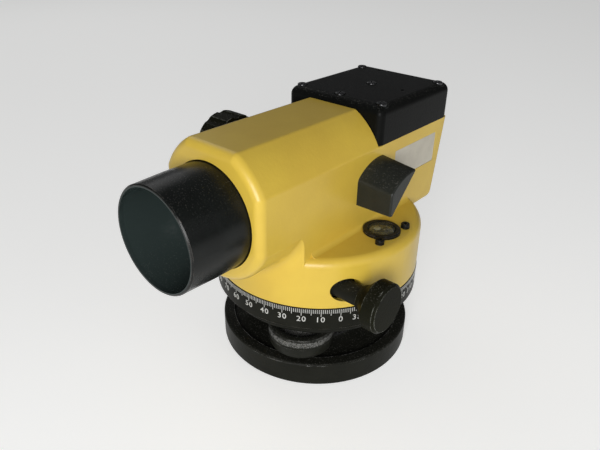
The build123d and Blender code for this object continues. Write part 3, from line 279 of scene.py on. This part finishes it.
def makeFinish(name, look):
    # one finish for a metal, paint or moulding, from its own settings
    material, tree, shader, wire, spots = newMaterial(name)
    stretched = spots
    if look.get("turnedAlong"):
        squash = [look["stretch"] if axis == look["turnedAlong"] else 1.0 for axis in "xyz"]
        stretched = wire.node("ShaderNodeMapping", {}, {"Vector": spots, "Scale": squash})
    cloud = paintNoise(wire, spots, look["cloudScale"], 4.0, 0.6)
    grain = paintNoise(wire, stretched, look["grainScale"], 2.0, 0.5)
    colour = cloud.held(0.3, 0.7).blendTo(rgb(*look["colour"]), rgb(*look["shade"]))
    rough = look["rough"] + (cloud - 0.5) * look["roughSpread"] + (grain - 0.5) * look["roughSpread"]
    wearAndSheen = None
    if look.get("edgeWidth"):
        patches = paintNoise(wire, spots, look["patchScale"], 5.0, 0.7)
        bare = patches.held(look.get("patchLow", 0.42), look.get("patchHigh", 0.66))
        wearAndSheen = edgeWear(wire, look["edgeWidth"]) * bare * look["edgeAmount"]
    # the band is partly finger wear and partly a painted highlight
    if look.get("band"):
        rubAndSheen = rubbedBand(wire, spots, look["band"])
        wearAndSheen = wearAndSheen.sum("MAXIMUM", wearAndSheen, rubAndSheen)
    if wearAndSheen is not None:
        colour = wearAndSheen.blendTo(colour, rgb(*look["worn"]))
        rough = rough + wearAndSheen * look.get("wornRough", 0.0)
    # the inside of a tube gets a lighter colour: a painted reflection of the light seen inside the bore
    if look.get("bore"):
        inside = insideTube(wire, spots, look["bore"])
        colour = inside.blendTo(colour, rgb(*look["boreColour"]))
        rough = rough + inside * look["boreRough"]
    if look.get("dust"):
        lint = dustOnTop(wire, spots, look["dust"])
        colour = lint.blendTo(colour, rgb(*lintLook["colour"]))
        rough = rough + lint * lintLook["rough"]
    tree.links.new(colour.socket, shader.inputs["Base Color"])
    tree.links.new(rough.socket, shader.inputs["Roughness"])
    shader.inputs["Metallic"].default_value = look.get("metallic", 0.0)
    if look.get("wornMetal"):
        tree.links.new((wearAndSheen * look["wornMetal"]).socket, shader.inputs["Metallic"])
    shader.inputs["Specular IOR Level"].default_value = look.get("specular", 0.5)
    shader.inputs["Coat Weight"].default_value = look.get("coat", 0.0)
    shader.inputs["Coat Roughness"].default_value = look.get("coatRough", 0.1)
    peel = paintNoise(wire, spots, look["peelScale"], 2.0, 0.5)
    height = peel * look["peelHeight"] + grain * look["grainHeight"]
    bump = wire.node("ShaderNodeBump", {}, {"Height": height, "Distance": shaderDetail["bumpReach"]})
    tree.links.new(bump.socket, shader.inputs["Normal"])
    return material


# finishes

castingPaint = {
    "colour": (0.72, 0.505, 0.066),
    "shade": (0.66, 0.450, 0.060),
    "cloudScale": 28.0,
    "grainScale": 2600.0,
    "rough": 0.36,
    "roughSpread": 0.12,
    "specular": 0.40,
    "coat": 0.15,
    "coatRough": 0.24,
    "peelScale": 620.0,
    "peelHeight": 0.055,
    "grainHeight": 0.012,
    "edgeWidth": 0.0006,
    "edgeAmount": 0.5,
    "patchScale": 160.0,
    "patchLow": 0.5,
    "patchHigh": 0.72,
    "worn": (0.80, 0.66, 0.25),
}
blackPaint = {
    "colour": (0.0085, 0.0088, 0.0066),
    "shade": (0.0135, 0.0138, 0.0105),
    "cloudScale": 60.0,
    "grainScale": 3000.0,
    "rough": 0.42,
    "roughSpread": 0.16,
    "specular": 0.07,
    "peelScale": 700.0,
    "peelHeight": 0.07,
    "grainHeight": 0.02,
    "edgeWidth": 0.0005,
    "edgeAmount": 0.9,
    "patchScale": 230.0,
    "worn": (0.62, 0.62, 0.60),
    "wornMetal": 0.9,
    "dust": 0.25,
}
ringAnodise = {
    "colour": (0.0090, 0.0092, 0.0068),
    "shade": (0.0140, 0.0142, 0.0108),
    "cloudScale": 90.0,
    "grainScale": 2200.0,
    "rough": 0.36,
    "roughSpread": 0.12,
    "specular": 0.05,
    "peelScale": 1500.0,
    "peelHeight": 0.02,
    "grainHeight": 0.02,
    "edgeWidth": 0.0003,
    "edgeAmount": 0.55,
    "patchScale": 300.0,
    "worn": (0.34, 0.30, 0.27),
    "wornMetal": 0.8,
    "dust": 0.2,
}
hoodAnodise = dict(ringAnodise, colour=(0.0045, 0.0055, 0.0050), shade=(0.0070, 0.0085, 0.0078))
hoodAnodise.update(rough=0.24, roughSpread=0.07, specular=0.22, edgeAmount=0.4)
# the lighter inside colour of the hood is a painted reflection; the inside is black like the outside
hoodAnodise.update(bore=(98.7, 22.75), boreColour=(0.030, 0.042, 0.040), boreRough=-0.04)
hoodAnodise.update(turnedAlong="y", stretch=14.0, grainScale=700.0, dust=0.1)
coverMoulding = {
    "colour": (0.0035, 0.0038, 0.0035),
    "shade": (0.0055, 0.0058, 0.0054),
    "cloudScale": 40.0,
    "grainScale": 1800.0,
    "rough": 0.36,
    "roughSpread": 0.10,
    "specular": 0.06,
    "peelScale": 900.0,
    "peelHeight": 0.05,
    "grainHeight": 0.035,
    "edgeWidth": 0.0006,
    "edgeAmount": 0.25,
    "patchScale": 200.0,
    "worn": (0.16, 0.17, 0.17),
    "dust": 0.22,
}
housingMoulding = dict(coverMoulding, colour=(0.0150, 0.0162, 0.0135), shade=(0.0220, 0.0238, 0.0195))
housingMoulding.update(rough=0.30, specular=0.2)
knobMoulding = dict(coverMoulding, colour=(0.0085, 0.0088, 0.0052), shade=(0.0125, 0.0127, 0.0078))
knobMoulding.update(rough=0.4, specular=0.02, edgeAmount=0.7, worn=(0.34, 0.35, 0.31))
footKnobFinish = dict(blackPaint, colour=(0.0120, 0.0125, 0.0095), shade=(0.0180, 0.0185, 0.0145))
# the lighter band round the knurled rim, in the worn colour, is partly finger wear and partly a painted
# highlight
footKnobFinish.update(rough=0.38, band=(23.8, 26.7), worn=(0.20, 0.20, 0.19), wornMetal=0.35, wornRough=0.05)
turnedSteel = {
    "colour": (0.56, 0.56, 0.57),
    "shade": (0.46, 0.46, 0.47),
    "metallic": 1.0,
    "cloudScale": 120.0,
    "turnedAlong": "z",
    "stretch": 9.0,
    "grainScale": 600.0,
    "rough": 0.28,
    "roughSpread": 0.16,
    "peelScale": 900.0,
    "peelHeight": 0.012,
    "grainHeight": 0.03,
}
turnedBrass = dict(turnedSteel, colour=(0.62, 0.43, 0.17), shade=(0.48, 0.32, 0.12), rough=0.30)
blackScrew = dict(ringAnodise, colour=(0.0050, 0.0050, 0.0045), shade=(0.0080, 0.0080, 0.0070))
blackScrew.update(rough=0.30, specular=0.16)
darkSteelScrew = dict(turnedSteel, colour=(0.085, 0.085, 0.088), shade=(0.05, 0.05, 0.052), rough=0.26)
magnetFinish = dict(turnedSteel, colour=(0.24, 0.24, 0.25), shade=(0.19, 0.19, 0.20), rough=0.4)
labelFinish = {
    "colour": (0.60, 0.56, 0.46),
    "shade": (0.53, 0.49, 0.40),
    "cloudScale": 70.0,
    "grainScale": 1500.0,
    "rough": 0.38,
    "roughSpread": 0.14,
    "peelScale": 1200.0,
    "peelHeight": 0.02,
    "grainHeight": 0.01,
    "edgeWidth": 0.0004,
    "edgeAmount": 0.6,
    "patchScale": 260.0,
    "worn": (0.52, 0.47, 0.33),
}
markInk = {
    "colour": (0.64, 0.64, 0.61),
    "shade": (0.50, 0.50, 0.47),
    "cloudScale": 420.0,
    "grainScale": 3000.0,
    "rough": 0.48,
    "roughSpread": 0.12,
    "peelScale": 2400.0,
    "peelHeight": 0.02,
    "grainHeight": 0.01,
}
fluidLook = {
    "colour": (0.105, 0.100, 0.056),
    "shade": (0.022, 0.021, 0.013),
    "cloudScale": 420.0,
    "grainScale": 900.0,
    "rough": 0.16,
    "roughSpread": 0.08,
    "peelScale": 500.0,
    "peelHeight": 0.03,
    "grainHeight": 0.0,
    "coat": 0.6,
    "coatRough": 0.05,
}
bubbleLook = dict(fluidLook, colour=(0.34, 0.34, 0.24), shade=(0.20, 0.20, 0.13), rough=0.08)

finish = {
    "yellow": makeFinish("castingPaint", castingPaint),
    "paint": makeFinish("blackPaint", blackPaint),
    "ring": makeFinish("ringAnodise", ringAnodise),
    "hood": makeFinish("hoodAnodise", hoodAnodise),
    "cover": makeFinish("coverMoulding", coverMoulding),
    "housing": makeFinish("housingMoulding", housingMoulding),
    "knob": makeFinish("knobMoulding", knobMoulding),
    "footKnob": makeFinish("footKnobFinish", footKnobFinish),
    "steel": makeFinish("turnedSteel", turnedSteel),
    "brass": makeFinish("turnedBrass", turnedBrass),
    "blackScrew": makeFinish("blackScrew", blackScrew),
    "darkSteelScrew": makeFinish("darkSteelScrew", darkSteelScrew),
    "magnet": makeFinish("magnetFinish", magnetFinish),
    "label": makeFinish("labelFinish", labelFinish),
    "mark": makeFinish("markInk", markInk),
    "fluid": makeFinish("fluidLook", fluidLook),
    "bubble": makeFinish("bubbleLook", bubbleLook),
}


def makeGlass(name, look):
    # optical glass with a faint coating and wiping marks
    material, tree, shader, wire, spots = newMaterial(name)
    smear = paintNoise(wire, spots, look["smearScale"], 4.0, 0.6)
    rough = look["rough"] + smear.held(*look["smear"]) * look["smearRough"]
    colour = smear.blendTo(rgb(*look["colour"]), rgb(*look["shade"]))
    tree.links.new(rough.socket, shader.inputs["Roughness"])
    tree.links.new(colour.socket, shader.inputs["Base Color"])
    shader.inputs["Transmission Weight"].default_value = 1.0
    shader.inputs["IOR"].default_value = look["bending"]
    return material


def makeMirror(name, look):
    material, tree, shader, wire, spots = newMaterial(name)
    haze = paintNoise(wire, spots, look["smearScale"], 4.0, 0.6)
    rough = look["rough"] + haze.held(*look["smear"]) * look["smearRough"]
    colour = haze.blendTo(rgb(*look["colour"]), rgb(*look["shade"]))
    tree.links.new(colour.socket, shader.inputs["Base Color"])
    tree.links.new(rough.socket, shader.inputs["Roughness"])
    shader.inputs["Metallic"].default_value = 1.0
    return material


def makeClear(name, look):
    # thin clear glass: see-through face on, shining where it is seen at a slant
    material, tree, shader, wire, spots = newMaterial(name)
    smear = paintNoise(wire, spots, look["smearScale"], 4.0, 0.6)
    slant = wire.node("ShaderNodeLayerWeight", {}, {"Blend": 0.5}, out=1)
    alpha = look["faceOn"] + slant ** look["slantPower"] * look["slant"] + smear * look["smearShows"]
    rough = look["rough"] + smear.held(*look["smear"]) * look["smearRough"]
    colour = smear.blendTo(rgb(*look["colour"]), rgb(*look["shade"]))
    tree.links.new(alpha.socket, shader.inputs["Alpha"])
    tree.links.new(rough.socket, shader.inputs["Roughness"])
    tree.links.new(colour.socket, shader.inputs["Base Color"])
    shader.inputs["Specular IOR Level"].default_value = 1.0
    return material


coatedLens = {
    "colour": (0.86, 0.95, 0.90),
    "shade": (0.78, 0.84, 0.95),
    "bending": 1.5,
    "smearScale": 90.0,
    "smear": (0.45, 0.75),
    "rough": 0.02,
    "smearRough": 0.05,
}
silveredGlass = {
    "colour": (0.80, 0.82, 0.82),
    "shade": (0.70, 0.72, 0.72),
    "smearScale": 150.0,
    "smear": (0.5, 0.8),
    "rough": 0.03,
    "smearRough": 0.07,
}
vialGlass = {
    "colour": (0.10, 0.11, 0.09),
    "shade": (0.16, 0.17, 0.14),
    "faceOn": 0.03,
    "slantPower": 4,
    "slant": 0.7,
    "smearShows": 0.06,
    "smearScale": 240.0,
    "smear": (0.4, 0.75),
    "rough": 0.03,
    "smearRough": 0.06,
}
finish["lens"] = makeGlass("coatedLens", coatedLens)
finish["mirror"] = makeMirror("silveredGlass", silveredGlass)
finish["glass"] = makeClear("vialGlass", vialGlass)

wearing = {
    "yellow": ["body_casting"],
    "paint": ["base_plate", "levelling_head"],
    "ring": ["horizontal_circle", "objective_cell", "objective_ring", "focus_carriage", "tangent_sleeves"],
    "hood": ["lens_hood"],
    "cover": ["compensator_cover", "compensator_frame"],
    "housing": ["mirror_housing"],
    "knob": ["tangent_knob_right", "tangent_knob_left", "focus_knob", "eyepiece_ring"],
    "footKnob": ["foot_knob_1", "foot_knob_2", "foot_knob_3"],
    "steel": ["spring_plate", "spring_screws", "axis_sleeve", "sleeve_screws", "axis_spindle", "axis_screws"],
    "brass": ["tripod_bush", "head_bushes", "friction_wheel", "focus_bush", "pendulum"],
    "blackScrew": ["level_screws", "level_cup", "eyepiece_tube", "reticle_cell"],
    "darkSteelScrew": ["cover_screws"],
    "magnet": ["damping_magnets"],
    "label": ["label_plate"],
    "lens": ["objective_lens", "focus_lens", "eyepiece_lens", "reticle", "pendulum_prism", "fixed_prisms"],
    "glass": ["level_vial"],
    "mirror": ["bubble_mirror"],
}
wearing["steel"] += ["axis_nut", "tangent_shaft", "focus_pinion", "suspension_tapes"]
wearing["steel"] += ["foot_spindle_1", "foot_spindle_2", "foot_spindle_3"]
for kind, names in wearing.items():
    for name in names:
        dress(nodes[name], finish[kind])
print("finishes on", len(nodes), "nodes")

# degree marks and numbers on the circle

degreeRing = {
    "radius": 54.0,
    "top": 49.15,
    "zeroAt": -38.14,
    "proud": 0.05,
    "sunk": 0.12,
    "markBevel": 0.03,
    "digitFat": 0.02,
    "width": 0.29,
    "long": 3.9,
    "middle": 3.3,
    "short": 2.2,
    "digitSize": 4.2,
    "digitMiddle": 43.5,
    "digitSpace": 1.18,
}


def degreeMark(length):
    look = degreeRing
    low = (look["radius"] - look["sunk"], -look["width"] / 2, look["top"] - length)
    high = (look["radius"] + look["proud"], look["width"] / 2, look["top"])
    return roundedBlock("degreeMark", low, high, look["markBevel"])


marks = []
for length, wanted in (
    (degreeRing["long"], lambda step: step % 10 == 0),
    (degreeRing["middle"], lambda step: step % 10 == 5),
    (degreeRing["short"], lambda step: step % 5 != 0),
):
    first = degreeMark(length)
    for step in range(360):
        if wanted(step):
            angle = math.radians(degreeRing["zeroAt"] - step)
            marks.append(twin(first, Matrix.Rotation(angle, 4, "Z")))
    bpy.data.objects.remove(first)
degreeMarks = joinAll(marks, "degree_marks")
dress(degreeMarks, finish["mark"])
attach(degreeMarks, "circle")


def ringNumber(value):
    # plain number bent round the circle
    look = degreeRing
    freshStart()
    bpy.ops.object.text_add(location=(0, 0, 0))
    words = bpy.context.object
    words.data.body = str(value)
    words.data.size = look["digitSize"] * mm
    words.data.align_x = "CENTER"
    words.data.align_y = "CENTER"
    words.data.space_character = look["digitSpace"]
    words.data.offset = look["digitFat"] * mm
    words.data.extrude = (look["proud"] + look["sunk"]) / 2 * mm
    words.data.resolution_u = 4
    bpy.ops.object.convert(target="MESH")
    number = bpy.context.object
    across = [point.co.x for point in number.data.vertices]
    upward = [point.co.y for point in number.data.vertices]
    spread = (min(across) + max(across)) / 2
    middle = (min(upward) + max(upward)) / 2
    for point in number.data.vertices:
        angle = math.radians(look["zeroAt"] - value) + (point.co.x - spread) / (look["radius"] * mm)
        reach = look["radius"] * mm + point.co.z + (look["proud"] - look["sunk"]) / 2 * mm
        height = look["digitMiddle"] * mm + point.co.y - middle
        point.co = (reach * math.cos(angle), reach * math.sin(angle), height)
    return number


ringNumbers = joinAll([ringNumber(value) for value in range(0, 360, 10)], "degree_numbers")
dress(ringNumbers, finish["mark"])
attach(ringNumbers, "circle")
print("degree ring done")

# foot screw knobs

footKnob = {
    "circle": 35.5,
    "angle": -62.0,
    "teeth": 96,
    "toothHeight": 0.32,
    "toothTaper": 0.94,
    "rimRadius": 16.5,  # faces outside this radius and between these heights carry teeth
    "rimHeights": (22.1, 27.5),
    "profile": [
        (4.05, 15.0),
        (13.8, 15.0),
        (14.3, 15.15),
        (16.1, 17.1),
        (16.35, 17.7),
        (16.35, 21.6),
        (16.45, 21.9),
        (16.62, 22.1),
        (16.62, 27.5),
        (16.45, 27.85),
        (16.1, 28.0),
        (13.4, 28.0),
        (13.05, 27.85),
        (12.95, 27.5),
        (12.95, 25.7),
        (12.6, 25.4),
        (7.2, 25.4),
        (6.6, 25.7),
        (6.4, 26.2),
        (6.3, 27.2),
        (6.0, 27.6),
        (4.05, 27.6),
        (4.05, 15.0),
    ],
}


def makeFootKnob():
    look = footKnob
    knob = turnRing("footKnob", look["profile"], look["teeth"] * 2)
    step = math.pi / look["teeth"]

    low, high = look["rimHeights"]

    def onTooth(middle, normal):
        outward = math.hypot(middle.x, middle.y) > look["rimRadius"] * mm and abs(normal.z) < 0.1
        index = math.floor(math.atan2(middle.y, middle.x) / step)
        return outward and index % 2 == 0 and low * mm < middle.z < high * mm

    pickFaces(knob, onTooth)
    bpy.ops.mesh.extrude_faces_move(TRANSFORM_OT_shrink_fatten={"value": look["toothHeight"] * mm})
    bpy.ops.transform.resize(value=(1, 1, look["toothTaper"]), center_override=(0, 0, (low + high) / 2 * mm))
    return settle("footKnob", 25)


firstKnob = makeFootKnob()
for index in range(3):
    angle = math.radians(footKnob["angle"] + index * 120)
    reach = footKnob["circle"] * mm
    place = Matrix.Translation((reach * math.cos(angle), reach * math.sin(angle), 0))
    knob = twin(firstKnob, place)
    knob.name = f"foot_screw_knob_{index + 1}"
    dress(knob, finish["footKnob"])
    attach(knob, f"foot_screw_{index + 1}")
    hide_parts(f"foot_knob_{index + 1}")
bpy.data.objects.remove(firstKnob)
print("foot knobs done")

# circular level

roundLevel = {
    "place": (38.9, 1.6, 0),
    "glass": [
        (7.0, 72.25),
        (7.0, 76.6),
        (6.8, 76.8),
        (6.0, 77.05),
        (4.6, 77.3),
        (3.0, 77.46),
        (1.5, 77.53),
        (0.02, 77.55),
        (0.02, 76.85),
        (3.0, 76.72),
        (6.1, 76.2),
        (6.1, 72.25),
        (7.0, 72.25),
    ],
    "fluid": [(6.05, 72.3), (6.05, 76.1), (4.6, 76.45), (3.0, 76.66), (1.5, 76.76), (0.02, 76.8)],
    "mark": [(2.6, 76.7), (2.85, 76.7), (2.85, 76.76), (2.6, 76.76), (2.6, 76.7)],
    "bubble": [(0.02, 76.98), (0.9, 76.95), (1.7, 76.86), (2.05, 76.72), (1.7, 76.6), (0.02, 76.5)],
    "bubbleShift": (-1.7, -0.9, -0.08),
}


def makeRoundLevel():
    look = roundLevel
    place = look["place"]
    glass = turnRing("level_glass", look["glass"], 72, place=place)
    fluid = turnRing("level_fluid", look["fluid"], 64, closed=False, place=place)
    mark = turnRing("level_mark", look["mark"], 64, place=place)
    shifted = [a + b for a, b in zip(place, look["bubbleShift"])]
    bubble = turnRing("level_bubble", look["bubble"], 40, closed=False, place=shifted)
    dress(glass, finish["glass"])
    dress(fluid, finish["fluid"])
    dress(mark, finish["blackScrew"])
    dress(bubble, finish["bubble"])
    for piece in (glass, fluid, mark, bubble):
        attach(piece, "telescope")
    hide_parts("level_vial")


makeRoundLevel()
print("circular level done")

# studio

studio = {
    "floorSize": 4.0,
    "floorColour": (0.80, 0.80, 0.79),
    "floorDrift": 0.98,  # the floor's slow change of colour
    "floorGlowColour": (1.0, 1.0, 0.99),
    "aim": (0, 0, 0.07),
    "floorGlow": 0.45,
    "worldStrength": 0.13,
    "worldColour": (0.97, 0.98, 1.0),
    "lamps": {
        "key": {"azimuth": 34, "elevation": 17, "distance": 0.9, "size": 0.42, "power": 6.7},
        "side": {"azimuth": 95, "elevation": 24, "distance": 1.0, "size": 0.6, "power": 0.8},
        "back": {"azimuth": 250, "elevation": 38, "distance": 1.5, "size": 0.8, "power": 1.6},
    },
}


def makeFloor():
    freshStart()
    bpy.ops.mesh.primitive_plane_add(size=studio["floorSize"], location=(0, 0, 0))
    bpy.ops.object.mode_set(mode="EDIT")
    bpy.ops.mesh.subdivide(number_cuts=4)
    floor = settle("studio_floor")
    material, tree, shader, wire, spots = newMaterial("studioFloor")
    drift = paintNoise(wire, spots, 2.0, 2.0, 0.5)
    base = studio["floorColour"]
    colour = drift.blendTo(rgb(*base), rgb(*[value * studio["floorDrift"] for value in base]))
    tree.links.new(colour.socket, shader.inputs["Base Color"])
    shader.inputs["Roughness"].default_value = 0.8
    shader.inputs["Specular IOR Level"].default_value = 0.2
    # the floor looks pale to the camera and in reflections, and lights nothing else
    glow = tree.nodes.new("ShaderNodeEmission")
    glow.inputs["Color"].default_value = rgb(*studio["floorGlowColour"])
    glow.inputs["Strength"].default_value = studio["floorGlow"]
    both = tree.nodes.new("ShaderNodeAddShader")
    pick = tree.nodes.new("ShaderNodeMixShader")
    rays = tree.nodes.new("ShaderNodeLightPath")
    seen = Wire(tree, rays.outputs["Is Camera Ray"]) + Wire(tree, rays.outputs["Is Glossy Ray"])
    seen = (seen + Wire(tree, rays.outputs["Is Transmission Ray"])).held(0.0, 1.0)
    tree.links.new(shader.outputs[0], both.inputs[0])
    tree.links.new(glow.outputs[0], both.inputs[1])
    tree.links.new(seen.socket, pick.inputs[0])
    tree.links.new(shader.outputs[0], pick.inputs[1])
    tree.links.new(both.outputs[0], pick.inputs[2])
    tree.links.new(pick.outputs[0], tree.nodes["Material Output"].inputs["Surface"])
    dress(floor, material)


def makeWorld():
    world = bpy.data.worlds.new("studioWorld")
    bpy.context.scene.world = world
    world.use_nodes = True
    back = world.node_tree.nodes["Background"]
    back.inputs["Color"].default_value = (*studio["worldColour"], 1)
    back.inputs["Strength"].default_value = studio["worldStrength"]


def backward(azimuth, elevation):
    a, e = math.radians(azimuth), math.radians(elevation)
    return Vector((math.sin(a) * math.cos(e), -math.cos(a) * math.cos(e), math.sin(e)))


def aimedFrom(azimuth, elevation, distance, target):
    back = backward(azimuth, elevation)
    turn = back.to_track_quat("Z", "Y").to_matrix().to_4x4()
    return Matrix.Translation(Vector(target) + back * distance) @ turn


def makeLamp(name, look):
    lamp = bpy.data.lights.new(name, "AREA")
    lamp.shape = "SQUARE"
    lamp.size = look["size"]
    lamp.energy = look["power"]
    body = bpy.data.objects.new(name, lamp)
    body.matrix_world = aimedFrom(look["azimuth"], look["elevation"], look["distance"], studio["aim"])
    bpy.context.scene.collection.objects.link(body)


makeFloor()
makeWorld()
for name, look in studio["lamps"].items():
    makeLamp(name, look)

cameraLook = {
    "eye": (0.170964, -0.214851, 0.214444),
    "azimuth": 40.472,
    "elevation": 28.607,
    "roll": 1.048,
    "pixels": 583.803,  # focal length in pixels of a picture this wide
    "width": 600,
    "sensor": 36.0,
    "nearest": 0.01,
}


def makeCamera():
    look = cameraLook
    lens = bpy.data.cameras.new("photoView")
    lens.sensor_width = look["sensor"]
    lens.lens = look["sensor"] * look["pixels"] / look["width"]
    lens.clip_start = look["nearest"]
    lens.dof.use_dof = False
    roll = math.radians(look["roll"])
    back = backward(look["azimuth"], look["elevation"])
    right = (-back).cross(Vector((0, 0, 1))).normalized()
    up = right.cross(-back)
    across = right * math.cos(roll) + up * math.sin(roll)
    upward = up * math.cos(roll) - right * math.sin(roll)
    turn = Matrix((across, upward, back)).transposed().to_4x4()
    camera = bpy.data.objects.new("photoView", lens)
    camera.matrix_world = Matrix.Translation(look["eye"]) @ turn
    bpy.context.scene.collection.objects.link(camera)
    bpy.context.scene.camera = camera


makeCamera()
bpy.context.scene.view_settings.view_transform = "Standard"
print("studio done")
